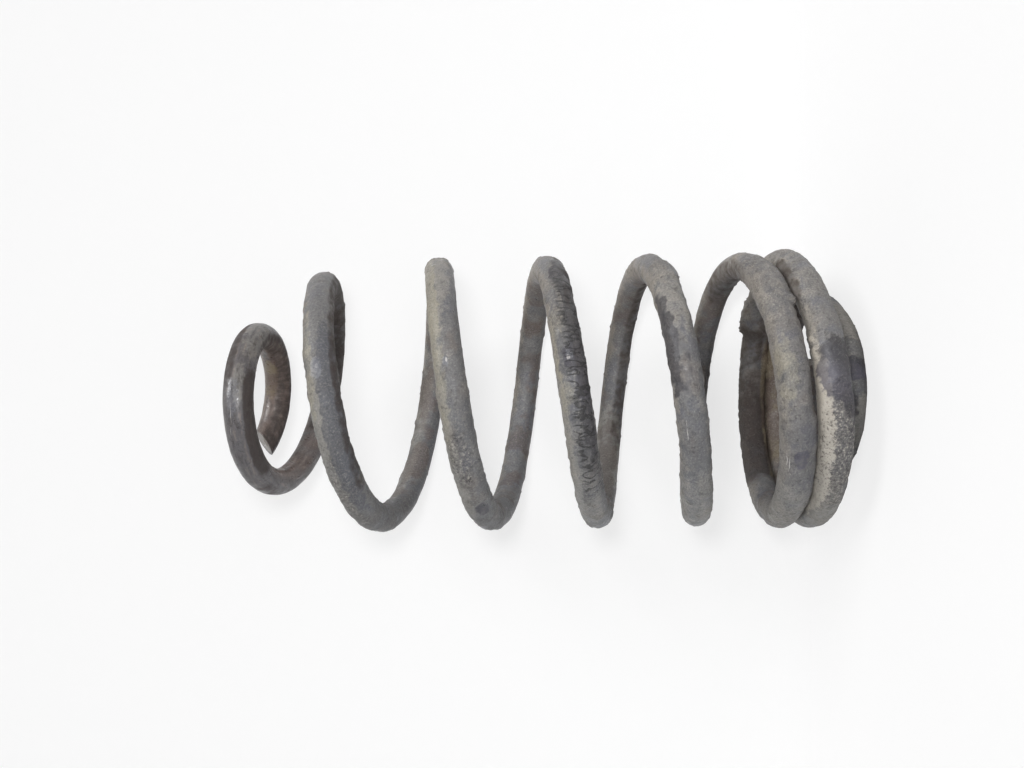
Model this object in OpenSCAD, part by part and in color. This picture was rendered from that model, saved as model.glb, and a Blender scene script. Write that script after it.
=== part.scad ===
// Coil compression spring, hot wound from one round steel bar.
// It stands on its bottom end ring, with the axis of the coils along Z.
// The origin is on the axis, in the plane that the end ring stands on.
// Places along the bar are counted in turns from its bottom cut end.

/* [Bar] */
// Diameter of the round bar
bar_d = 12; // [8:0.5:14]
// Direction of the bottom cut end, seen from above, in degrees from +X
start_angle = 68; // [0:1:359]

/* [Bottom end ring] */
// Mean diameter of the ring that the spring stands on
seat_ring_d = 66; // [56:1:74]
// Turns of the ring that lie flat on the ground
seat_ring_turns = 0.6; // [0.5:0.05:0.65]
// Turns over which the bar starts to climb from the ring
climb_turns = 0.25; // [0.2:0.05:0.35]
// Rise in one turn where the bar climbs the most steeply
climb_pitch = 25; // [22:1:40]
// Turns over which the climb settles to the pitch of the closed coils
settle_turns = 0.2; // [0.15:0.05:0.4]
// Turns of climb before the bar starts to spiral out
spread_lag = 0.1; // [0:0.05:0.15]
// Turns over which the bar spirals out to the closed coils
spread_turns = 0.4; // [0.3:0.05:0.5]

/* [Closed coils] */
// Mean diameter of the closed coils
closed_coil_d = 111; // [96:0.2:130]
// Turns of closed coil above the climb
closed_turns = 1.2; // [1:0.05:3]
// Gap between neighbouring closed coils
closed_gap = 1.2; // [0.8:0.1:6]
// Lift of the lower closed coil above an even wind
closed_lift = 4; // [0:0.1:5]
// Turns that the lifted stretch spans
lift_turns = 0.5; // [0.4:0.05:0.7]
// Turns from the lifted stretch up to where the coils open out
lift_lead = 0.25; // [0.1:0.05:0.4]
// Turns over which the closed coils open out
opening_turns = 0.45; // [0.3:0.05:1]

/* [Open coils] */
// Mean diameter of the open coils
open_coil_d = 109.6; // [96:0.2:130]
// Turns of open coil
open_turns = 4.4; // [2:0.05:8]
// Rise of the lowest open coil in one turn
low_pitch = 40; // [24:0.2:60]
// Rise of the highest open coil in one turn
high_pitch = 53; // [24:0.2:70]

/* [Top end ring] */
// Mean diameter of the top ring at its cut end
top_ring_d = 51; // [40:1:70]
// Turns over which the coils narrow towards the top cut end
taper_turns = 1.95; // [1.4:0.05:3]
// Turns over which the pitch closes
closing_turns = 0.45; // [0.3:0.05:1]
// Turns of the top ring that stay nearly level
level_turns = 0.3; // [0.1:0.05:0.6]
// Rise of the level stretch in one turn
level_pitch = 4.8; // [0:0.2:10]
// Turns of the cut end, which is kicked upwards
kick_turns = 0.35; // [0.2:0.05:0.5]
// Rise in one turn that the kicked end reaches
kick_pitch = 28; // [0:1:50]
// Sideways shift of the cut end from the axis, towards -X
top_shift = 2.2; // [0:0.2:6]

/* [Fineness] */
// Flats round the bar
bar_sides = 16; // [8:2:24]
// Cross-sections along one turn
steps_per_turn = 40; // [16:1:48]

/* [Hidden] */

bar_r = bar_d / 2;
closed_pitch = bar_d + closed_gap;

// Where each stretch of the bar begins, in turns from the bottom cut end
climb_at = seat_ring_turns;
spread_at = climb_at + spread_lag;
steep_at = climb_at + climb_turns;
closed_at = steep_at + settle_turns;
opening_at = closed_at + closed_turns;
lift_at = opening_at - lift_lead - lift_turns;
open_at = opening_at + opening_turns;
closing_at = open_at + open_turns;
level_at = closing_at + closing_turns;
kick_at = level_at + level_turns;
turns = kick_at + kick_turns;

steps = ceil(turns * steps_per_turn);
step_turns = turns / steps;

// Rise of the bar in one turn, at a place along the bar
PITCHES = [
    [climb_at, 0],
    [steep_at, climb_pitch],
    [closed_at, closed_pitch],
    [opening_at, closed_pitch],
    [open_at, low_pitch],
    [closing_at, high_pitch],
    [level_at, level_pitch],
    [kick_at, level_pitch],
    [turns, kick_pitch]
];

// 0 before the start, 1 after the end and a smooth S between them
function ease(at, start, length) =
    let (t = min(max((at - start) / length, 0), 1))
    t * t * (3 - 2 * t);

// Mean radius of the coil at a place along the bar
function coil_r(at) =
    let (
        seat_r = seat_ring_d / 2,
        closed_r = closed_coil_d / 2,
        open_r = open_coil_d / 2,
        top_r = top_ring_d / 2
    )
    seat_r
    + (closed_r - seat_r) * ease(at, spread_at, spread_turns)
    + (open_r - closed_r) * ease(at, opening_at, opening_turns)
    + (top_r - open_r) * ease(at, turns - taper_turns, taper_turns);

// Lift of the lower closed coil above an even wind
function lift(at) =
    let (t = (at - lift_at) / lift_turns)
    t <= 0 || t >= 1 ? 0 : closed_lift * pow(sin(180 * t), 2);

// Heights that an even wind reaches, summed up one step at a time along the bar
RISES = [
    for (
        i = 0, z = bar_r;
        i <= steps;
        z = z + step_turns * lookup((i + 0.5) * step_turns, PITCHES), i = i + 1
    ) z
];

function angle_at(i) = start_angle + 360 * i * step_turns;

// Sideways shift of the coil's middle, which grows from where the pitch closes
function shift_at(i) = -top_shift * ease(i * step_turns, closing_at, turns - closing_at);

// Middle of the bar at each step
MIDDLES = [
    for (i = [0 : steps])
        let (at = i * step_turns, r = coil_r(at))
        [
            r * cos(angle_at(i)) + shift_at(i),
            r * sin(angle_at(i)),
            RISES[i] + lift(at)
        ]
];

function unit(v) = v / norm(v);

// Direction in which the bar runs at a step
function along(i) = unit(MIDDLES[min(i + 1, steps)] - MIDDLES[max(i - 1, 0)]);

// Direction from the axis outwards, square to the bar
function outwards(i) =
    let (out = [cos(angle_at(i)), sin(angle_at(i)), 0])
    unit(out - (out * along(i)) * along(i));

// Round cross-section of the bar at a step
function section(i) =
    let (out = outwards(i), up = cross(along(i), out))
    [
        for (k = [0 : bar_sides - 1])
            let (a = 360 * k / bar_sides)
            MIDDLES[i] + bar_r * (cos(a) * out + sin(a) * up)
    ];

// The bar, swept along its middle line and closed by its two flat cut ends
module coil_spring() {
    sections = [for (i = [0 : steps]) each section(i)];
    points = concat(sections, [MIDDLES[0], MIDDLES[steps]]);
    start_middle = len(sections);
    end_middle = start_middle + 1;
    last = steps * bar_sides;
    wall = [
        for (i = [0 : steps - 1], k = [0 : bar_sides - 1])
            let (
                next = (k + 1) % bar_sides,
                a = i * bar_sides + k,
                b = i * bar_sides + next,
                c = a + bar_sides,
                d = b + bar_sides
            )
            each [[a, b, d], [a, d, c]]
    ];
    start_face = [for (k = [0 : bar_sides - 1]) [start_middle, (k + 1) % bar_sides, k]];
    end_face = [for (k = [0 : bar_sides - 1]) [end_middle, last + k, last + (k + 1) % bar_sides]];
    color("dimgray")
        polyhedron(points = points, faces = concat(wall, start_face, end_face), convexity = 20);
}

coil_spring();
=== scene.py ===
"""Finish of a heavy coil compression spring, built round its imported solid.

The bar is hot-wound round steel. Under grey road dust it wears the rest of a dark paint,
with crust where the paint has lifted, brown rust on the inside of the coils, a smoother
ring at the top, and a sheared face at each cut end.
Places along the bar are counted in turns from its bottom cut end, as in the solid.
A section's outer side faces away from the axis, and its upper side faces up.
"""

import math

import bpy
from mathutils import Matrix, Vector


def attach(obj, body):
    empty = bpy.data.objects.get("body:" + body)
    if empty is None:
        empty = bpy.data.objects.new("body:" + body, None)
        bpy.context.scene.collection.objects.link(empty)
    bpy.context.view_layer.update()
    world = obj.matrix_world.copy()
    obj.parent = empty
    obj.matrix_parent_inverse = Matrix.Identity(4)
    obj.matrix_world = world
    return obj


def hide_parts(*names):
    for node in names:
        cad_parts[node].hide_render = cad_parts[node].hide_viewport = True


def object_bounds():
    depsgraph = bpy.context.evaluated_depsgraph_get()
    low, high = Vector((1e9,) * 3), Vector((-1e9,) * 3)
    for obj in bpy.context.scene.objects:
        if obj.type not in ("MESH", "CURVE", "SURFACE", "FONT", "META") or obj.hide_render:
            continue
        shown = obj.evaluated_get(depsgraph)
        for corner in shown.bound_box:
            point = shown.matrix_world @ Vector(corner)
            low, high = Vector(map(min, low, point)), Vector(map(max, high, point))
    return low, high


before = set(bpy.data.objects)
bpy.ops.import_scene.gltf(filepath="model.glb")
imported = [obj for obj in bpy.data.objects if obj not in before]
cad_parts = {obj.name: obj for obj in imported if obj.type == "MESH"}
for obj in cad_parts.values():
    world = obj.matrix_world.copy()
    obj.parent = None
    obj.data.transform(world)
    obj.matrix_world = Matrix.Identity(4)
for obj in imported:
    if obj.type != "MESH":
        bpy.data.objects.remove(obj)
CAD_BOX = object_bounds()

MM = 0.001

# The wind of the bar, the same as in the solid
BAR_D = 12 * MM
START_ANGLE = math.radians(68)
SEAT_RING_D = 66 * MM
CLOSED_COIL_D = 111 * MM
OPEN_COIL_D = 109.6 * MM
TOP_RING_D = 51 * MM
CLIMB_PITCH = 25 * MM
CLOSED_GAP = 1.2 * MM
CLOSED_LIFT = 4 * MM
LOW_PITCH = 40 * MM
HIGH_PITCH = 53 * MM
LEVEL_PITCH = 4.8 * MM
KICK_PITCH = 28 * MM
TOP_SHIFT = 2.2 * MM

# How far the top end is cut off the square, as a share of the bar's width, and the turns of
# bar that slant with it
CUT_SLANT = 0.8
SLANT_TURNS = 0.09

# Where each stretch of the bar begins, in turns
CLIMB_AT = 0.6
SPREAD_AT = CLIMB_AT + 0.1
STEEP_AT = CLIMB_AT + 0.25
CLOSED_AT = STEEP_AT + 0.2
OPENING_AT = CLOSED_AT + 1.2
OPEN_AT = OPENING_AT + 0.45
CLOSING_AT = OPEN_AT + 4.4
LEVEL_AT = CLOSING_AT + 0.45
KICK_AT = LEVEL_AT + 0.3
TURNS = KICK_AT + 0.35
SPREAD_TURNS = 0.4
LIFT_TURNS = 0.5
LIFT_AT = OPENING_AT - 0.25 - LIFT_TURNS
TAPER_TURNS = 1.95

# Length of bar in one coil, for patterns that run along the bar
COIL_LENGTH = math.pi * OPEN_COIL_D

# Fineness of the skin: points round the bar, rows along it, and rows across each cut end
SIDES = 36
ROWS = 2680
CUT_ROWS = 6

# Points of the skin that lie closer together than this are one
SAME_POINT = 0.01 * MM

# Height of the broad lumps, and of the crust that covers the closed coils
LUMP_HEIGHT = 1.0 * MM
CLOSED_COIL_CRUST = 0.35 * MM

# How much of the wall and of the floor is plain white where the camera sees them
WALL_SEEN_BRIGHT = 0.72
FLOOR_SEEN_BRIGHT = 0.8

# The white wall's strength where it is seen, and the room's strength as a light
SEEN_STRENGTH = 0.975
ROOM_STRENGTH = 0.13

# The floor's reach, the wall's gap behind the spring, and the bend between them
FLOOR_REACH = 2.0
WALL_GAP = 3 * MM
FLOOR_BEND = 20 * MM
BEND_STEPS = 12

# Where the light of each lamp comes from: two directions, and a place beside the camera
SIDE_LIGHT_FROM = (0.55, -0.5, 1.0)
BACK_LIGHT_FROM = (-0.4, 1.0, 0.6)
FRONT_LIGHT_BESIDE_CAMERA = (-30 * MM, 42 * MM, 0)

# The camera, level with the middle of the spring
CAMERA_PLACE = (3.6 * MM, -373.5 * MM, 127 * MM)
CAMERA_ROLL = math.radians(0.94)
LENS = 29.08
SENSOR_WIDTH = 36
SHIFT = -0.0442


class Value:
    """One output of a node. Sums on it add the Math nodes that work them out."""

    def __init__(self, maker, socket):
        self.maker = maker
        self.socket = socket

    def beside(self, output):
        """Another output of the same node."""
        return Value(self.maker, self.socket.node.outputs[output])

    def math(self, operation, *values):
        return self.maker.add("ShaderNodeMath", {"operation": operation}, dict(enumerate(values)))

    def __add__(self, other):
        return self.math("ADD", self, other)

    def __radd__(self, other):
        return self.math("ADD", other, self)

    def __sub__(self, other):
        return self.math("SUBTRACT", self, other)

    def __rsub__(self, other):
        return self.math("SUBTRACT", other, self)

    def __mul__(self, other):
        return self.math("MULTIPLY", self, other)

    def __rmul__(self, other):
        return self.math("MULTIPLY", other, self)

    def __truediv__(self, other):
        return self.math("DIVIDE", self, other)

    def __rtruediv__(self, other):
        return self.math("DIVIDE", other, self)

    def __neg__(self):
        return self.math("MULTIPLY", self, -1)


class Maker:
    """Adds nodes to one node tree."""

    def __init__(self, tree):
        self.tree = tree

    def add(self, kind, settings=None, values=None, output=0):
        """Adds a node, sets it up, fills its sockets with values or links, and gives one output."""
        node = self.tree.nodes.new(kind)
        for name, setting in (settings or {}).items():
            setattr(node, name, setting)
        for key, value in (values or {}).items():
            if isinstance(value, Value):
                self.tree.links.new(value.socket, node.inputs[key])
            else:
                node.inputs[key].default_value = value
        return Value(self, node.outputs[output]) if len(node.outputs) else node

    def smooth(self, value, start, end, low=0.0, high=1.0):
        """Goes from low to high as the value goes from start to end."""
        return self.add(
            "ShaderNodeMapRange",
            {"interpolation_type": "SMOOTHSTEP", "clamp": True},
            {"Value": value, "From Min": start, "From Max": end, "To Min": low, "To Max": high},
        )

    def vector(self, x, y, z):
        return self.add("ShaderNodeCombineXYZ", {}, {0: x, 1: y, 2: z})

    def vector_math(self, operation, *values):
        return self.add("ShaderNodeVectorMath", {"operation": operation}, dict(enumerate(values)))

    def scaled(self, vector, factor):
        return self.add(
            "ShaderNodeVectorMath", {"operation": "SCALE"}, {0: vector, "Scale": factor}
        )

    def noise(self, place, scale, detail, roughness):
        """Cloudy noise from 0 to 1, with lumps about 1 / scale long."""
        return self.add(
            "ShaderNodeTexNoise",
            {"noise_dimensions": "3D"},
            {"Vector": place, "Scale": scale, "Detail": detail, "Roughness": roughness},
        )

    def mix(self, factor, a, b, blend="MIX"):
        """Colour a where the factor is 0, and colour b where it is 1."""
        return self.add(
            "ShaderNodeMix",
            {"data_type": "RGBA", "blend_type": blend, "clamp_factor": True},
            {0: factor, 6: a, 7: b},
            2,
        )


def srgb(red, green, blue):
    """A colour as a screen shows it, from 0 to 255, made linear."""
    shares = (c / 255 for c in (red, green, blue))
    return (*(s / 12.92 if s <= 0.04045 else ((s + 0.055) / 1.055) ** 2.4 for s in shares), 1)


# ---------------------------------------------------------------- the bar's line and skin


def rise(at, start, end, low, high):
    """Height gained over one stretch, whose pitch goes evenly from low to high."""
    gone = at.math("MINIMUM", at.math("MAXIMUM", at, start), end) - start
    return gone * low + gone * gone * ((high - low) / (2 * (end - start)))


def bar_middle(m, at, size):
    """Middle of the bar at a place along it."""
    radius = (
        size["Seat Ring Diameter"] / 2
        + (size["Closed Coil Diameter"] - size["Seat Ring Diameter"])
        / 2
        * m.smooth(at, SPREAD_AT, SPREAD_AT + SPREAD_TURNS)
        + (size["Open Coil Diameter"] - size["Closed Coil Diameter"])
        / 2
        * m.smooth(at, OPENING_AT, OPEN_AT)
        + (size["Top Ring Diameter"] - size["Open Coil Diameter"])
        / 2
        * m.smooth(at, TURNS - TAPER_TURNS, TURNS)
    )
    closed_pitch = size["Bar Diameter"] + size["Closed Gap"]
    arch = at.math("SINE", m.add(
        "ShaderNodeMapRange",
        {"clamp": True},
        {"Value": at, "From Min": LIFT_AT, "From Max": LIFT_AT + LIFT_TURNS, "To Max": math.pi},
    ))
    height = (
        size["Bar Diameter"] / 2
        + rise(at, CLIMB_AT, STEEP_AT, 0, size["Climb Pitch"])
        + rise(at, STEEP_AT, CLOSED_AT, size["Climb Pitch"], closed_pitch)
        + rise(at, CLOSED_AT, OPENING_AT, closed_pitch, closed_pitch)
        + rise(at, OPENING_AT, OPEN_AT, closed_pitch, size["Low Pitch"])
        + rise(at, OPEN_AT, CLOSING_AT, size["Low Pitch"], size["High Pitch"])
        + rise(at, CLOSING_AT, LEVEL_AT, size["High Pitch"], size["Level Pitch"])
        + rise(at, LEVEL_AT, KICK_AT, size["Level Pitch"], size["Level Pitch"])
        + rise(at, KICK_AT, TURNS, size["Level Pitch"], size["Kick Pitch"])
        + arch * arch * size["Closed Lift"]
    )
    angle = START_ANGLE + at * math.tau
    shift = m.smooth(at, CLOSING_AT, TURNS) * size["Top Shift"]
    return m.vector(
        radius * angle.math("COSINE", angle) - shift, radius * angle.math("SINE", angle), height
    )


# The node that holds a group, in each kind of tree
GROUP_NODE = {
    "GeometryNodeTree": "GeometryNodeGroup",
    "ShaderNodeTree": "ShaderNodeGroup",
}


def oval_patch(kind):
    """A group that is 1 on an oval of the bar's skin, with a ragged edge, and 0 elsewhere."""
    tree = bpy.data.node_groups.new("oval_patch", kind)
    m = Maker(tree)
    names = (
        "At", "Outer", "Upper", "Ragged", "Turn", "Angle", "Shortness", "Narrowness", "Raggedness"
    )
    for name in names:
        tree.interface.new_socket(name, in_out="INPUT", socket_type="NodeSocketFloat")
    tree.interface.new_socket("Patch", in_out="OUTPUT", socket_type="NodeSocketFloat")
    inputs = tree.nodes.new("NodeGroupInput")
    at, outer, upper, ragged, turn, angle, shortness, narrowness, raggedness = (
        Value(m, inputs.outputs[name]) for name in names
    )
    facing = outer * angle.math("COSINE", angle) + upper * angle.math("SINE", angle)
    across = facing.math("ARCCOSINE", facing) * narrowness
    along = (at - turn) * shortness
    away = across * across + along * along + ragged * raggedness
    m.add("NodeGroupOutput", {}, {"Patch": m.smooth(away, 0.5, 1.1, 1, 0)})
    return tree


class Skin:
    """Places on the bar's skin: how far along it, and on which side of its section."""

    def __init__(self, maker, at, outer, upper):
        self.m = maker
        self.at = at
        self.outer = outer
        self.upper = upper
        self.place = self.laid_out(1)
        self.ragged = maker.noise(self.place, 320, 3, 0.6) - 0.5
        self.oval_patch = oval_patch(maker.tree.bl_idname)

    def laid_out(self, drawn):
        """The bar laid out straight, in metres, so that patterns follow it.

        A pattern is drawn out along the bar where drawn is below 1, and squeezed above it.
        """
        return self.m.vector(
            self.at * (COIL_LENGTH * drawn), self.outer * (BAR_D / 2), self.upper * (BAR_D / 2)
        )

    def stretch(self, start, end, fade=0.06):
        """1 along the bar from start to end, fading to 0 past both."""
        m = self.m
        return m.smooth(self.at, start - fade, start) * m.smooth(self.at, end, end + fade, 1, 0)

    def facing(self, angle):
        """1 on the side at an angle from the outer side towards the upper side, -1 opposite."""
        turned = math.radians(angle)
        return self.outer * math.cos(turned) + self.upper * math.sin(turned)

    def side(self, angle, spread):
        """1 on one side of the bar, fading to 0 at spread degrees from it."""
        return self.m.smooth(
            self.facing(angle), math.cos(math.radians(spread)), math.cos(math.radians(spread / 2))
        )

    def spot(self, turn, angle, length, width, ragged=2.0):
        """1 on an oval of this length and width, with a ragged edge."""
        return self.m.add(
            GROUP_NODE[self.m.tree.bl_idname],
            {"node_tree": self.oval_patch},
            {
                "At": self.at,
                "Outer": self.outer,
                "Upper": self.upper,
                "Ragged": self.ragged,
                "Turn": turn,
                "Angle": math.radians(angle),
                "Shortness": 2 * COIL_LENGTH / length,
                "Narrowness": BAR_D / width,
                "Raggedness": ragged,
            },
        )


# ---------------------------------------------------------------- where the wear, painted shade and painted light lie

# A spot is given by its turn, the angle of its side from the outer side upwards, its length
# and its width. A stretch goes from one turn to another. Factors say how strong each one is.


def paint_left(skin):
    """Dark paint that is left."""
    return (
        skin.spot(3.62, 62, 46 * MM, 10 * MM)
        + skin.spot(1.583, -8, 25 * MM, 19 * MM) * 1.3
        + skin.spot(1.565, -60, 36 * MM, 13 * MM)
        + skin.spot(0.594, -3, 15 * MM, 19 * MM) * 1.2
        + skin.spot(0.53, 38, 30 * MM, 11 * MM) * 0.8
        + skin.spot(3.59, 22, 30 * MM, 8 * MM) * 0.5
        + skin.spot(4.71, -25, 34 * MM, 12 * MM) * 0.8
        + skin.spot(4.50, -30, 26 * MM, 9 * MM) * 0.6
        + skin.spot(4.62, -38, 90 * MM, 9 * MM)
        + skin.spot(4.6, 5, 9 * MM, 6 * MM)
        + skin.spot(5.42, -25, 9 * MM, 6 * MM)
        + skin.spot(2.488, -5, 9 * MM, 7 * MM) * 0.8
    )


def slate_showing(skin):
    """Smooth bluish steel that shows through the dust."""
    return (
        skin.spot(3.575, -10, 26 * MM, 12 * MM) * 0.55
        + skin.spot(3.512, 0, 30 * MM, 12 * MM) * 0.6
        + skin.spot(2.485, -5, 34 * MM, 12 * MM) * 0.5
        + skin.spot(6.53, -38, 90 * MM, 11 * MM) * 1.6
        + skin.spot(4.60, 10, 22 * MM, 9 * MM)
        + skin.spot(5.54, -20, 40 * MM, 10 * MM) * 0.5
    )


def soot_and_painted_shade(skin):
    """Dark insides, undersides and flanks of the coils: some sooty dirt, but mostly painted shade.
    """
    return (
        skin.stretch(1.84, 1.95, 0.05) * skin.side(165, 120) * 0.35
        + skin.spot(7.29, 0, 90 * MM, 18 * MM) * 0.5
        + skin.stretch(1.98, 2.2, 0.04) * skin.side(140, 95) * 0.65
        + skin.stretch(2.13, 2.2, 0.09) * skin.side(150, 95) * 0.6
        + skin.stretch(0.84, 0.95, 0.03) * skin.side(90, 95)
        + skin.stretch(6.80, 7.12, 0.05) * skin.side(-140, 95) * 0.8
        + skin.stretch(6.48, 6.80, 0.08) * skin.side(-85, 50) * 0.8
        + skin.stretch(7.44, 7.58, 0.06) * skin.side(-96, 72) * 1.8
        + skin.stretch(7.62, 7.84, 0.08) * skin.side(45, 55) * 0.8
        + skin.stretch(2.76, 2.88, 0.08) * skin.side(125, 90) * 0.65
        + skin.stretch(3.82, 4.12, 0.08) * skin.side(-135, 60) * 0.7
        + skin.stretch(5.0, 5.2, 0.08) * skin.side(-110, 60) * 0.4
        + skin.stretch(4.58, 4.76, 0.06) * skin.side(-50, 50) * 0.5
        + skin.spot(1.71, 72, 36 * MM, 8 * MM) * 0.65
        + skin.stretch(7.70, 8.20, 0.08) * skin.side(-125, 62) * 0.7
    )


def umber_film(skin):
    """Brown film on the inside of the closed coils and of the top ring."""
    return (
        skin.stretch(0.96, 1.16) * skin.side(120, 105)
        + skin.stretch(2.0, 2.2) * skin.side(-115, 50)
        + skin.spot(7.98, 165, 60 * MM, 9 * MM)
    )


def olive_stains(skin):
    """Pale olive stains."""
    return (
        skin.spot(4.6, 35, 50 * MM, 9 * MM)
        + skin.spot(2.585, 36, 26 * MM, 11 * MM)
        + skin.spot(2.54, 36, 14 * MM, 9 * MM) * 0.6
        + skin.spot(6.6, 45, 60 * MM, 7 * MM)
        + skin.spot(5.6, 40, 90 * MM, 7 * MM)
        + skin.spot(5.70, 62, 60 * MM, 12 * MM) * 1.3
    )


def pale_band(skin):
    """The pale crusted band on the lowest closed coil."""
    return skin.spot(1.505, 63, 86 * MM, 10 * MM) + skin.stretch(7.8, 8.12) * skin.side(115, 40)


def pale_dust_and_light(skin):
    """Pale dust, thickest on what lay upwards, with three spots of painted light."""
    return (
        # Painted light over the shadow that the strand in front casts on the end ring
        skin.spot(0.705, 5, 42 * MM, 22 * MM)
        + skin.spot(4.18, 175, 70 * MM, 20 * MM) * 1.1
        + skin.spot(4.43, 10, 40 * MM, 16 * MM) * 0.6
        + skin.stretch(6.0, 6.25, 0.1) * skin.side(150, 50) * 0.8
        + skin.spot(1.42, 40, 46 * MM, 22 * MM)
        + skin.spot(2.40, 20, 44 * MM, 26 * MM) * 0.7
        + skin.spot(3.42, 20, 44 * MM, 26 * MM) * 0.6
        + skin.spot(6.43, 20, 110 * MM, 9 * MM) * 0.9
        + skin.spot(3.67, 10, 40 * MM, 18 * MM) * 0.7
        # Painted sheen
        + skin.spot(4.64, -12, 70 * MM, 8 * MM) * 0.7
        + skin.spot(5.60, 58, 60 * MM, 7 * MM) * 0.9
        + skin.spot(5.43, 45, 60 * MM, 9 * MM) * 0.8
        + skin.spot(2.69, 20, 44 * MM, 20 * MM) * 0.5
        + skin.spot(1.72, 20, 50 * MM, 16 * MM) * 0.5
        + skin.spot(5.505, 48, 44 * MM, 9 * MM)
        + skin.spot(5.71, 30, 60 * MM, 18 * MM) * 0.8
        # Painted highlight on the top ring
        + skin.spot(7.59, -14, 28 * MM, 6 * MM)
        + skin.spot(6.47, 36, 110 * MM, 10 * MM) * 0.75
        + skin.spot(5.46, 55, 100 * MM, 10 * MM)
        + skin.spot(5.78, 62, 80 * MM, 8 * MM)
        + skin.spot(0.5, -35, 44 * MM, 10 * MM) * 0.9
        + skin.spot(4.5, 62, 90 * MM, 8 * MM) * 0.8
        + skin.spot(7.71, -45, 56 * MM, 13 * MM) * 0.8
        + skin.spot(7.22, -30, 40 * MM, 20 * MM) * 0.5
        + skin.spot(1.58, 70, 60 * MM, 8 * MM) * 0.8
    )


def flaky_patches(skin):
    """Patches where the crust breaks into light and dark flakes."""
    return (
        skin.spot(1.49, -2, 58 * MM, 20 * MM)
        + skin.spot(6.44, 5, 50 * MM, 14 * MM) * 0.7
        + skin.spot(5.49, 8, 30 * MM, 11 * MM) * 0.7
        + skin.spot(3.72, 0, 30 * MM, 16 * MM) * 0.5
        + skin.spot(4.63, 20, 46 * MM, 9 * MM) * 0.6
        + skin.spot(2.74, 40, 16 * MM, 10 * MM) * 0.6
        + skin.spot(5.72, 55, 40 * MM, 6 * MM) * 0.6
        + skin.spot(6.66, 60, 40 * MM, 6 * MM) * 0.6
    )


def bare_chips(skin):
    """Small chips down to smooth, shiny metal."""
    return (
        skin.spot(5.595, 3, 4 * MM, 3 * MM)
        + skin.spot(4.6, 3, 5 * MM, 4 * MM) * 0.6
        + skin.spot(4.553, -14, 4 * MM, 3 * MM) * 0.5
        + skin.spot(6.592, 4, 9 * MM, 5 * MM)
        + skin.spot(7.565, 4, 28 * MM, 6 * MM) * 0.6
    )


def lips_and_dent(skin):
    """Height of the lips and flakes that stand up from the crust, and of one dent."""
    grit = skin.m.noise(skin.place, 420, 2, 0.55)
    return (
        skin.spot(2.47, -80, 50 * MM, 9 * MM) * (0.9 * MM)
        + skin.spot(1.53, 90, 70 * MM, 9 * MM) * (0.5 * MM)
        + skin.spot(1.985, -110, 40 * MM, 9 * MM) * (0.9 * MM)
        + skin.spot(1.0, 90, 34 * MM, 9 * MM) * (0.6 * MM)
        + skin.spot(1.95, 75, 22 * MM, 8 * MM) * (grit * 4.5 - 0.6) * MM
        + skin.spot(2.665, -60, 6 * MM, 4 * MM) * (1.4 * MM)
        + skin.spot(2.71, -80, 34 * MM, 9 * MM) * (0.9 * MM)
        + skin.spot(1.72, 80, 34 * MM, 9 * MM) * (1.0 * MM)
        + skin.spot(2.75, 55, 10 * MM, 8 * MM) * (0.7 * MM)
        + skin.spot(3.72, -20, 14 * MM, 14 * MM) * (0.8 * MM)
        - skin.spot(2.483, 30, 8 * MM, 5 * MM, 1) * (0.6 * MM)
    )


def wear(skin):
    """Relief of the worn skin in metres, and where each kind of wear, painted shade and painted
    light lies.
    """
    m = skin.m
    closed = skin.stretch(0.9, 2.72, 0.1)
    top_ring = skin.stretch(7.25, TURNS, 0.25)
    foot_ring = skin.stretch(-1, 0.62, 0.1)

    # Crust, thickest on the closed coils and on one side of some open coils
    crusty = (
        0.3
        + closed * 0.5
        + skin.stretch(3.42, 3.82) * 0.4
        + skin.stretch(4.3, 4.74) * 0.3
        + skin.stretch(5.36, 5.54) * 0.4
        + skin.stretch(6.33, 6.58) * 0.5
        - top_ring * 0.4
        - foot_ring * 0.15
    )
    lumps = m.noise(skin.place, 85, 3, 0.5) - 0.5
    grit = m.noise(skin.place, 300, 4, 0.65)
    crust = m.smooth(m.noise(skin.place, 150, 4, 0.6) + crusty * 0.3, 0.66, 0.76)

    # Rust, mostly on the inside of the coils and on the top ring
    rusty = (
        m.noise(skin.place, 60, 4, 0.6)
        - skin.outer * 0.16
        + top_ring * 0.05
        + skin.stretch(0.96, 1.22) * 0.2
    )
    relief = (
        lumps * LUMP_HEIGHT * (1 - top_ring * 0.5)
        + crust * (grit * 0.9 - 0.15) * MM
        + closed * CLOSED_COIL_CRUST
        + lips_and_dent(skin)
    )
    return relief, {
        "crust": crust,
        "paint": paint_left(skin),
        "rust": m.smooth(rusty, 0.56, 0.7),
        # Sooty dirt, but mostly painted shade
        "soot_and_shade": soot_and_painted_shade(skin),
        "stain": olive_stains(skin),
        "umber": umber_film(skin),
        "band": pale_band(skin),
        # Pale dust, with a few spots of painted light
        "dust": pale_dust_and_light(skin),
        "slate": slate_showing(skin),
        "flaky": flaky_patches(skin),
        "bare": bare_chips(skin),
    }


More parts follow.
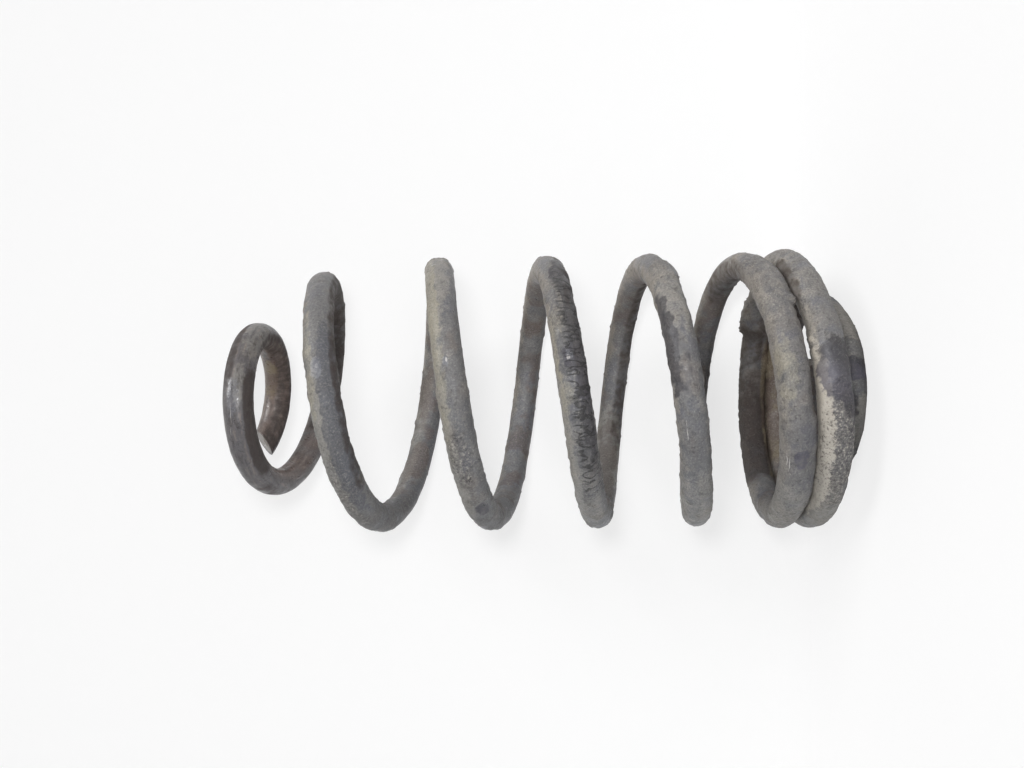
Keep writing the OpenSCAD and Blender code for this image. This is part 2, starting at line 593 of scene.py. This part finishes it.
def scratches_and_glints(skin):
    """Light scratch marks, painted glints and painted highlights, finer than the skin's own points.
    """
    return (
        skin.spot(3.553, 36, 13 * MM, 0.9 * MM, 1.2)
        + skin.spot(3.521, 27, 14 * MM, 0.9 * MM, 1.2)
        + skin.spot(2.486, 52, 8 * MM, 0.8 * MM, 1.2)
        + skin.spot(2.480, 40, 7 * MM, 0.7 * MM, 1.2)
        # Painted highlights along the top ring's left edge
        + skin.spot(7.575, 5, 18 * MM, 0.9 * MM, 1) * 0.7
        + skin.spot(7.54, 12, 18 * MM, 0.9 * MM, 1) * 0.7
        + skin.spot(7.505, 17, 14 * MM, 0.9 * MM, 1) * 0.7
        # Painted glints
        + skin.spot(5.597, 0, 1.9 * MM, 1.5 * MM, 0.5) * 1.2
        + skin.spot(6.594, 2, 2.5 * MM, 1.8 * MM, 0.5) * 0.5
        + skin.spot(4.598, 6, 2.4 * MM, 1.8 * MM, 0.5) * 0.8
        + skin.spot(4.554, -15, 3.0 * MM, 1.2 * MM, 0.6) * 0.7
    )


# ---------------------------------------------------------------- the bar's mesh


def make_bar_tree(material):
    """The bar's skin: rows of points round a wound line, with the wear of the steel in relief."""
    tree = bpy.data.node_groups.new("wound_bar", "GeometryNodeTree")
    m = Maker(tree)
    sizes = {
        "Bar Diameter": BAR_D,
        "Seat Ring Diameter": SEAT_RING_D,
        "Closed Coil Diameter": CLOSED_COIL_D,
        "Open Coil Diameter": OPEN_COIL_D,
        "Top Ring Diameter": TOP_RING_D,
        "Climb Pitch": CLIMB_PITCH,
        "Closed Gap": CLOSED_GAP,
        "Closed Lift": CLOSED_LIFT,
        "Low Pitch": LOW_PITCH,
        "High Pitch": HIGH_PITCH,
        "Level Pitch": LEVEL_PITCH,
        "Kick Pitch": KICK_PITCH,
        "Top Shift": TOP_SHIFT,
        "Cut Slant": CUT_SLANT,
        "Wear Depth": 1.0,
    }
    for name in sizes:
        tree.interface.new_socket(name, in_out="INPUT", socket_type="NodeSocketFloat")
    tree.interface.new_socket("Bar", in_out="OUTPUT", socket_type="NodeSocketGeometry")
    inputs = tree.nodes.new("NodeGroupInput")
    size = {name: Value(m, inputs.outputs[name]) for name in sizes}

    # The line that the bar is wound along
    index = m.add("GeometryNodeInputIndex")
    line = m.add("GeometryNodeMeshLine", {}, {"Count": ROWS + 1})
    line = m.add("GeometryNodeMeshToCurve", {}, {0: line})
    line = m.add(
        "GeometryNodeSetPosition",
        {},
        {"Geometry": line, "Position": bar_middle(m, index * (TURNS / ROWS), size)},
    )
    line = m.add("GeometryNodeSetCurveNormal", {"mode": "Z_UP"}, {"Curve": line})

    # Rows of points round the line, and past each cut end rows that shrink to its middle
    skin = m.add(
        "GeometryNodeMeshGrid",
        {},
        {"Vertices X": ROWS + 1 + 2 * CUT_ROWS, "Vertices Y": SIDES + 1},
    )
    row = index.math("FLOOR", index / (SIDES + 1)) - CUT_ROWS
    around = (index - (row + CUT_ROWS) * (SIDES + 1)) * (math.tau / SIDES)
    on_bar = row.math("MINIMUM", row.math("MAXIMUM", row, 0), ROWS)
    past_end = (row - on_bar).math("ABSOLUTE", row - on_bar)
    at = on_bar * (TURNS / ROWS)
    outer = around.math("COSINE", around)
    upper = -around.math("SINE", around)

    def on_line(field):
        return m.add(
            "GeometryNodeSampleIndex",
            {"data_type": "FLOAT_VECTOR", "domain": "POINT", "clamp": True},
            {0: line, 1: m.add(field), 2: on_bar},
        )

    middle = on_line("GeometryNodeInputPosition")
    along = on_line("GeometryNodeInputTangent")
    outwards = on_line("GeometryNodeInputNormal")
    upwards = m.vector_math("CROSS_PRODUCT", outwards, along)
    out = m.vector_math("ADD", m.scaled(outwards, outer), m.scaled(upwards, upper))

    relief, kinds = wear(Skin(m, at, outer, upper))
    reach = (size["Bar Diameter"] / 2 + relief * size["Wear Depth"]) * (1 - past_end / CUT_ROWS)
    place = m.vector_math("ADD", middle, m.scaled(out, reach))
    slant = m.smooth(at, TURNS - SLANT_TURNS, TURNS) * upper * reach * -size["Cut Slant"]
    place = m.vector_math("ADD", place, m.scaled(along, slant))

    skin = m.add("GeometryNodeSetPosition", {}, {"Geometry": skin, "Position": place})
    stored = {"turn": at, "outer": outer, "upper": upper, "cut": past_end / CUT_ROWS, **kinds}
    for name, value in stored.items():
        skin = m.add(
            "GeometryNodeStoreNamedAttribute",
            {"data_type": "FLOAT", "domain": "POINT"},
            {"Geometry": skin, "Name": name, "Value": value},
        )
    skin = m.add("GeometryNodeMergeByDistance", {}, {"Geometry": skin, "Distance": SAME_POINT})
    skin = m.add("GeometryNodeRealizeInstances", {}, {"Geometry": skin})
    skin = m.add("GeometryNodeSetMaterial", {}, {"Geometry": skin, "Material": material})
    m.add("NodeGroupOutput", {}, {"Bar": skin})
    return tree, sizes


def wound_bar(name, material):
    """The bar as a plain mesh."""
    tree, sizes = make_bar_tree(material)
    maker = bpy.data.objects.new(name + "_maker", bpy.data.meshes.new(name + "_maker"))
    bpy.context.scene.collection.objects.link(maker)
    modifier = maker.modifiers.new("wound_bar", "NODES")
    modifier.node_group = tree
    for item in tree.interface.items_tree:
        if item.in_out == "INPUT":
            modifier[item.identifier] = sizes[item.name]
    graph = bpy.context.evaluated_depsgraph_get()
    ready = maker.evaluated_get(graph)
    mesh = bpy.data.meshes.new_from_object(
        ready, preserve_all_data_layers=True, depsgraph=graph
    )
    maker.modifiers.clear()
    bpy.data.objects.remove(maker)
    mesh.name = name
    mesh.shade_smooth()
    bar = bpy.data.objects.new(name, mesh)
    bpy.context.scene.collection.objects.link(bar)
    return bar


# ---------------------------------------------------------------- finishes


def new_material(name):
    """An empty material, and what adds nodes to it."""
    material = bpy.data.materials.new(name)
    material.use_nodes = True
    material.node_tree.nodes.clear()
    return material, Maker(material.node_tree)


# Road dust, with its tints; a tan on the upper flank, partly dust and partly painted light; and
# painted shade below
DUST_DARK = srgb(92, 92, 94)
DUST_LIGHT = srgb(118, 117, 117)
DUST_BROWN = srgb(108, 99, 93)
DUST_BLUE = srgb(98, 99, 108)
DUST_TAN_AND_LIGHT = srgb(142, 134, 122)
PAINTED_SHADE_BELOW = srgb(70, 69, 71)
DUST_ON_CLOSED_COILS = srgb(74, 70, 73)
# Pale dust, which in a few spots is painted light and painted highlights
PALE_DUST_AND_LIGHT = srgb(152, 148, 140)

# Rust, stains and crust
RUST_DARK = srgb(66, 57, 53)
RUST_LIGHT = srgb(104, 88, 80)
OLIVE = srgb(158, 152, 130)
CRUST = srgb(134, 130, 125)
PIT = srgb(54, 50, 48)
PALE_BAND = srgb(190, 182, 170)
FLAKY_GROUND = srgb(84, 80, 80)
FLAKE_LIGHT = srgb(178, 172, 162)
FLAKE_DARK = srgb(48, 44, 44)

# What is left of the paint, and what it left behind
SLATE = srgb(72, 74, 82)
PAINT_DARK = srgb(42, 40, 46)
PAINT_VIOLET = srgb(78, 76, 90)

# The cleaner top ring
RING_BROWN = srgb(98, 82, 75)
RING_GREY = srgb(84, 80, 82)
STREAK_DARK = srgb(52, 46, 45)
STREAK_LIGHT = srgb(146, 132, 122)

# Films over the inside of the coils
UMBER = srgb(92, 78, 68)
UMBER_OLIVE = srgb(118, 106, 84)
# Sooty dirt, but mostly painted shade on the insides, undersides and flanks of the coils
SOOT_AND_SHADE_DARK = srgb(36, 31, 30)
SOOT_AND_SHADE_BROWN = srgb(66, 56, 52)

# Fine marks
# White of the scratch marks, and of the painted glints and painted highlights
SCRATCH_AND_GLINT = srgb(214, 208, 204)
CRACKED = srgb(60, 58, 60)
CRACK = srgb(34, 33, 34)
SPECK_LIGHT = srgb(172, 169, 164)
SPECK_DARK = srgb(44, 43, 42)
CUT_DARK = srgb(80, 72, 66)
CUT_LIGHT = srgb(166, 160, 152)
BARE_STEEL = srgb(136, 138, 146)

# Painted cool shade towards -x and painted warm light towards +x, and the painted shade below
PAINTED_COOL_SHADE = (0.95, 0.974, 0.995, 1)
PAINTED_WARM_LIGHT = (0.98, 0.958, 0.93, 1)
SHADE = srgb(60, 60, 63)


def worn_steel():
    """Grey road dust over worn dark paint, with crust, rust and stains, bright cut ends, and
    painted shade, painted highlights, glints and warm and cool light.
    """
    material, m = new_material("worn_steel")

    def stored(name):
        return m.add("ShaderNodeAttribute", {"attribute_name": name}, {}, "Fac")

    place = m.add("ShaderNodeTexCoord", {}, {}, "Object")
    skin = Skin(m, stored("turn"), stored("outer"), stored("upper"))
    top_ring = skin.stretch(7.3, TURNS, 0.25)
    grain = m.noise(place, 1300, 4, 0.75)
    mottle = m.noise(skin.place, 190, 5, 0.65)
    cloud = m.noise(skin.place, 42, 3, 0.5)
    tint = m.noise(skin.place, 75, 4, 0.6)

    def worn(name, blotches, specks, start, end):
        """Where one kind of wear lies, its edge broken up by the mottle and the grain."""
        edge = (mottle - 0.5) * blotches + (grain - 0.5) * specks
        return m.smooth(stored(name) + edge, start, end)

    # Dust: tan on the upper flank, partly settled dust and partly painted light; painted shade,
    # cooler and darker, below
    colour = m.mix(m.smooth(mottle, 0.3, 0.7), DUST_DARK, DUST_LIGHT)
    colour = m.mix(m.smooth(tint, 0.52, 0.68) * 0.6, colour, DUST_BROWN)
    colour = m.mix(m.smooth(tint, 0.48, 0.34) * 0.5, colour, DUST_BLUE)
    rough_edge = (mottle - 0.5) * 1.5 + (cloud - 0.5) * 1.2 + (grain - 0.5) * 0.8
    # Painted light on the upper flank, mixed with tan dust
    colour = m.mix(m.smooth(skin.upper + rough_edge, 0.5, 1.1) * 0.6, colour, DUST_TAN_AND_LIGHT)
    # Painted shade on the lower flank
    colour = m.mix(m.smooth(-skin.upper + rough_edge, 0.4, 1.1) * 0.65, colour, PAINTED_SHADE_BELOW)
    colour = m.mix(skin.stretch(2.3, 2.72, 0.1) * 0.25, colour, DUST_ON_CLOSED_COILS)
    # Pale dust, in a few spots painted light: a painted highlight, a painted sheen, and light
    # painted over a cast shadow
    dust = worn("dust", 1.4, 0.8, 0.3, 0.9)
    colour = m.mix(dust * 0.5, colour, PALE_DUST_AND_LIGHT)

    # Rust, stains, and crust with dark pits
    rust = worn("rust", 1.6, 1.2, 0.3, 1.0)
    colour = m.mix(rust * 0.6, colour, m.mix(cloud, RUST_DARK, RUST_LIGHT))
    stain = worn("stain", 1.8, 0.8, 0.5, 1.3)
    colour = m.mix(stain * 0.4, colour, OLIVE)
    crust = worn("crust", 0, 0.8, 0.35, 0.7)
    colour = m.mix(crust * 0.25, colour, CRUST)
    pitted = m.smooth(m.noise(place, 520, 3, 0.6), 0.56, 0.66)
    pits = pitted * (0.15 + crust * 0.7) * (1 - top_ring)
    colour = m.mix(pits * 0.45, colour, PIT)
    band = worn("band", 1.8, 1.2, 0.18, 0.9)
    colour = m.mix(band * 0.8, colour, PALE_BAND)

    # Loose flakes, pale over dark ground
    flakes = worn("flaky", 1.2, 0, 0.3, 0.9)
    flecked = m.noise(place, 900, 3, 0.7)
    colour = m.mix(flakes * (1 - band) * 0.5, colour, FLAKY_GROUND)
    colour = m.mix(flakes * m.smooth(flecked, 0.52, 0.64) * 0.75, colour, FLAKE_LIGHT)
    colour = m.mix(flakes * m.smooth(flecked, 0.46, 0.36) * 0.7, colour, FLAKE_DARK)

    # The paint that is left, and the smooth steel beside it
    slate = worn("slate", 1.2, 0, 0.3, 1.0)
    colour = m.mix(slate * 0.65, colour, SLATE)
    paint = worn("paint", 1.9, 0.9, 0.35, 0.8)
    painted = m.mix(m.smooth(cloud, 0.45, 0.75), PAINT_DARK, PAINT_VIOLET)
    colour = m.mix(paint * 0.8, colour, painted)

    # The top ring is cleaner: dark, smooth steel, streaked along the bar
    ring_steel = m.mix(m.smooth(skin.outer + (mottle - 0.5), -0.6, 0.3), RING_BROWN, RING_GREY)
    colour = m.mix(top_ring * (0.8 - dust * 0.4), colour, ring_steel)
    streaks = m.noise(skin.laid_out(0.16), 620, 3, 0.6)
    colour = m.mix(top_ring * m.smooth(streaks, 0.5, 0.36) * 0.6, colour, STREAK_DARK)
    colour = m.mix(top_ring * m.smooth(streaks, 0.55, 0.68) * 0.35, colour, STREAK_LIGHT)

    # Brown film; sooty dirt that is mostly painted shade; and light scratch marks, painted glints
    # and painted highlights through them
    umber = worn("umber", 1.0, 0.6, 0.3, 0.9)
    colour = m.mix(umber * 0.75, colour, m.mix(m.smooth(tint, 0.4, 0.6), UMBER, UMBER_OLIVE))
    soot_and_shade = worn("soot_and_shade", 1.3, 0.6, 0.3, 0.9)
    # Painted shade, with some sooty dirt
    colour = m.mix(soot_and_shade * 0.85, colour, m.mix(mottle, SOOT_AND_SHADE_DARK, SOOT_AND_SHADE_BROWN))
    colour = m.mix(m.smooth(scratches_and_glints(skin), 0.2, 1.0) * 0.85, colour, SCRATCH_AND_GLINT)

    # Broken rows of fine cracks across one open coil
    cracked = skin.stretch(4.455, 4.7, 0.03) * skin.side(-30, 62)
    broken = m.noise(skin.laid_out(2.6), 150, 2, 0.4) - 0.5
    cracks = m.smooth(broken.math("ABSOLUTE", broken), 0.055, 0.02) * cracked
    colour = m.mix(cracked * 0.3, colour, CRACKED)
    colour = m.mix(cracks * 0.85, colour, CRACK)

    # Painted light and shade: a warmer colour towards +x where the light falls, a cooler one
    # towards -x, and painted shade on the undersides from about turn 5 on
    lie = m.add("ShaderNodeSeparateXYZ", {}, {0: place}, "X")
    painted_light_tinge = m.mix(m.smooth(lie, -50 * MM, 50 * MM), PAINTED_COOL_SHADE, PAINTED_WARM_LIGHT)
    colour = m.mix(1.0, colour, painted_light_tinge, "MULTIPLY")
    shaded = m.smooth(lie, -42 * MM, -58 * MM) * m.smooth(skin.at, 4.9, 5.3)
    colour = m.mix(shaded * 0.5, colour, SHADE)

    # Fine speckle over all of it, then the cut ends and the bare chips
    dusty = (1 - top_ring * 0.6 - paint * 0.5) * (1 - soot_and_shade * 0.7)
    colour = m.mix(m.smooth(grain, 0.5, 0.7) * dusty * 0.34, colour, SPECK_LIGHT)
    colour = m.mix(m.smooth(grain, 0.5, 0.3) * dusty * 0.46, colour, SPECK_DARK)
    cut = m.smooth(stored("cut"), 0.1, 0.3)
    colour = m.mix(cut * 0.7, colour, m.mix(mottle, CUT_DARK, CUT_LIGHT))
    bare = worn("bare", 0, 1.2, 0.35, 0.7)
    colour = m.mix(bare * 0.35, colour, BARE_STEEL)

    chips = m.smooth(m.noise(place, 300, 3, 0.6), 0.58, 0.66)
    roughness = (
        0.5
        + soot_and_shade * 0.35
        - top_ring * 0.13
        - chips * 0.18
        - bare * 0.24
        + crust * 0.15
        + (mottle - 0.5) * 0.5
    )
    height = (
        grain * 0.35 * dusty
        + mottle * 0.8 * (1 - top_ring * 0.4)
        - pits * 0.5
        - cracks * 0.9
        + flakes * flecked * 1.2
    )
    bump = m.add("ShaderNodeBump", {}, {"Strength": 0.8, "Distance": 0.5 * MM, "Height": height})
    shader = m.add(
        "ShaderNodeBsdfPrincipled",
        {},
        {"Base Color": colour, "Roughness": roughness, "Normal": bump},
    )
    m.add("ShaderNodeOutputMaterial", {}, {"Surface": shader})
    return material


# ---------------------------------------------------------------- studio

WHITE = (1, 1, 1, 1)
MATT_WHITE = srgb(241, 241, 241)


def pale_surround():
    """Matt white that brightens where the camera sees it, and is clear from behind."""
    material, m = new_material("pale_surround")
    path = m.add("ShaderNodeLightPath", {}, {}, "Is Camera Ray")
    behind = m.add("ShaderNodeNewGeometry", {}, {}, "Backfacing")
    matt = m.add("ShaderNodeBsdfDiffuse", {}, {"Color": MATT_WHITE})
    bright = m.add("ShaderNodeEmission", {}, {"Color": WHITE, "Strength": SEEN_STRENGTH})
    level = m.add("ShaderNodeSeparateXYZ", {}, {0: behind.beside("Normal")}, "Z")
    share = m.smooth(level, 0, 1, WALL_SEEN_BRIGHT, FLOOR_SEEN_BRIGHT)
    front = m.add("ShaderNodeMixShader", {}, {0: path * share, 1: matt, 2: bright})
    clear = m.add("ShaderNodeBsdfTransparent")
    shader = m.add("ShaderNodeMixShader", {}, {0: behind, 1: front, 2: clear})
    m.add("ShaderNodeOutputMaterial", {}, {"Surface": shader})
    return material


def make_surround():
    """A pale floor that curves up into a pale wall close behind the spring."""
    wall_y = CAD_BOX[1].y + WALL_GAP
    profile = [(-FLOOR_REACH, 0)]
    for step in range(BEND_STEPS + 1):
        turned = math.pi / 2 * step / BEND_STEPS
        y = wall_y - FLOOR_BEND + FLOOR_BEND * math.sin(turned)
        profile.append((y, FLOOR_BEND - FLOOR_BEND * math.cos(turned)))
    profile.append((wall_y, FLOOR_REACH))
    points = [(x, y, z) for x in (-FLOOR_REACH, FLOOR_REACH) for y, z in profile]
    count = len(profile)
    faces = [(i, i + count, i + count + 1, i + 1) for i in range(count - 1)]
    mesh = bpy.data.meshes.new("floor_and_wall")
    mesh.from_pydata(points, [], faces)
    mesh.materials.append(pale_surround())
    mesh.shade_smooth()
    surround = bpy.data.objects.new("floor_and_wall", mesh)
    surround.visible_shadow = False
    bpy.context.scene.collection.objects.link(surround)


def light_world():
    """White all round, at full strength only where it is seen or mirrored."""
    world = bpy.data.worlds.new("white_room")
    bpy.context.scene.world = world
    world.use_nodes = True
    world.node_tree.nodes.clear()
    m = Maker(world.node_tree)
    path = m.add("ShaderNodeLightPath", {}, {}, "Is Camera Ray")
    seen = path.math("MAXIMUM", path, path.beside("Is Glossy Ray"))
    seen = seen.math("MAXIMUM", seen, path.beside("Is Transmission Ray"))
    strength = m.smooth(seen, 0, 1, ROOM_STRENGTH, 1)
    shader = m.add("ShaderNodeBackground", {}, {"Color": WHITE, "Strength": strength})
    m.add("ShaderNodeOutputWorld", {}, {"Surface": shader})


def soft_sun(name, come_from, power, spread):
    """An even, soft light from one direction."""
    lamp = bpy.data.lights.new(name, "SUN")
    lamp.energy = power
    lamp.angle = math.radians(spread)
    holder = bpy.data.objects.new(name, lamp)
    holder.rotation_euler = Vector(come_from).to_track_quat("Z", "Y").to_euler()
    bpy.context.scene.collection.objects.link(holder)


def even_lamp(name, place, radius, power):
    """A small round lamp beside the camera that is as strong on what is far as on what is near."""
    lamp = bpy.data.lights.new(name, "POINT")
    lamp.shadow_soft_size = radius
    lamp.energy = power
    lamp.use_nodes = True
    lamp.node_tree.nodes.clear()
    m = Maker(lamp.node_tree)
    strength = m.add("ShaderNodeLightFalloff", {}, {"Strength": 1.0}, "Constant")
    shader = m.add("ShaderNodeEmission", {}, {"Strength": strength})
    m.add("ShaderNodeOutputLight", {}, {"Surface": shader})
    holder = bpy.data.objects.new(name, lamp)
    holder.location = place
    bpy.context.scene.collection.objects.link(holder)


def place_camera():
    """Level with the middle of the spring, and rolled so that the spring lies across the view."""
    data = bpy.data.cameras.new("camera")
    data.lens = LENS
    data.sensor_width = SENSOR_WIDTH
    data.shift_x = SHIFT
    data.clip_start = 0.01
    right = Vector((-math.sin(CAMERA_ROLL), 0, -math.cos(CAMERA_ROLL)))
    up = Vector((math.cos(CAMERA_ROLL), 0, -math.sin(CAMERA_ROLL)))
    turned = Matrix((right, up, right.cross(up))).transposed().to_4x4()
    camera = bpy.data.objects.new("camera", data)
    camera.matrix_world = Matrix.Translation(CAMERA_PLACE) @ turned
    bpy.context.scene.collection.objects.link(camera)
    bpy.context.scene.camera = camera
    return camera


# ---------------------------------------------------------------- putting it together

bar = wound_bar("wound_bar_skin", worn_steel())
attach(bar, "root")
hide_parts("coil_spring")

make_surround()
light_world()
soft_sun("side_light", SIDE_LIGHT_FROM, power=1.7, spread=28)
soft_sun("back_light", BACK_LIGHT_FROM, power=0.8, spread=40)
camera = place_camera()
beside_camera = camera.matrix_world @ Vector(FRONT_LIGHT_BESIDE_CAMERA)
even_lamp("front_light", beside_camera, radius=28 * MM, power=19)
bpy.context.scene.view_settings.view_transform = "Standard"
